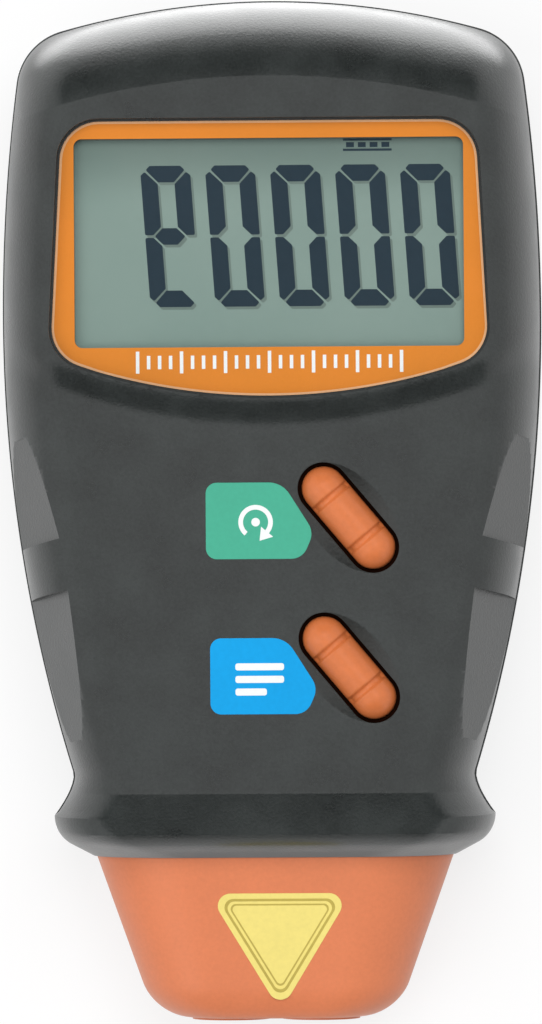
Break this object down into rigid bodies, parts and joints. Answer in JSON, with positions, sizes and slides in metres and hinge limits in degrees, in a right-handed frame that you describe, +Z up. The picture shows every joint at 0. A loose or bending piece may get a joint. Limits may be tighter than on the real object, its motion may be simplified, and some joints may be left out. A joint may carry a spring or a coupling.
{
  "type": "laser tachometer",
  "caption": "Hand-held laser tachometer: bowed two-part housing with a framed digital display, slanted push keys, flared collar and tapered optical nose, battery behind a sliding cover.",
  "frame": {"origin": "centre of the bounding box, on the back face the meter lies on", "axes": "+Z up out of the front face, +Y from the optical nose to the display end, +X to the right seen from the front"},
  "size_m": [0.0694, 0.131, 0.029],
  "materials": {
    "charcoal_plastic": "matt, fine moulded grain",
    "orange_plastic": "satin",
    "button_plastic": "satin",
    "clear_cover": "clear gloss",
    "border_film": "printed",
    "lcd_glass": "reflective display glass",
    "black_plastic": "matt",
    "contact_rubber": "soft",
    "circuit_board": "solder mask",
    "steel": "plain",
    "brass": "turned",
    "optic_glass": "polished",
    "battery_jacket": "printed can",
    "lead_sleeve": "soft sleeve",
    "cable_film": "flat cable"
  },
  "bodies": {
    "housing": {"front_shell": "charcoal_plastic", "rear_shell": "charcoal_plastic", "nose_cap": "orange_plastic", "display_lens": "clear_cover", "lens_border": "border_film", "lcd_panel": "lcd_glass", "lcd_frame": "black_plastic", "contact_strips": "contact_rubber", "main_board": "circuit_board", "microcontroller": "black_plastic", "crystal": "steel", "test_switch": "black_plastic", "memory_switch": "black_plastic", "laser_window": "optic_glass", "receiver_lens": "optic_glass", "laser_module": "brass", "photodiode": "black_plastic", "optics_carrier": "black_plastic", "sensor_board": "circuit_board", "ribbon_cable": "cable_film", "battery": "battery_jacket", "battery_snap": "black_plastic", "battery_leads": "lead_sleeve", "case_screws": "steel", "board_screws": "steel"},
    "battery_cover": {"battery_cover": "charcoal_plastic"},
    "test_key": {"test_button": "button_plastic", "test_plunger": "black_plastic"},
    "memory_key": {"memory_button": "button_plastic", "memory_plunger": "black_plastic"}
  },
  "joints": [
    {"name": "test_press", "type": "slide", "parent": "housing", "child": "test_key", "axis": [0, 0, -1], "range_m": [0, 0.0008], "stiffness_N_per_m": 1500},
    {"name": "memory_press", "type": "slide", "parent": "housing", "child": "memory_key", "axis": [0, 0, -1], "range_m": [0, 0.0008], "stiffness_N_per_m": 1500},
    {"name": "cover_slide", "type": "slide", "parent": "housing", "child": "battery_cover", "axis": [0, 1, 0], "range_m": [0, 0.064]}
  ]
}
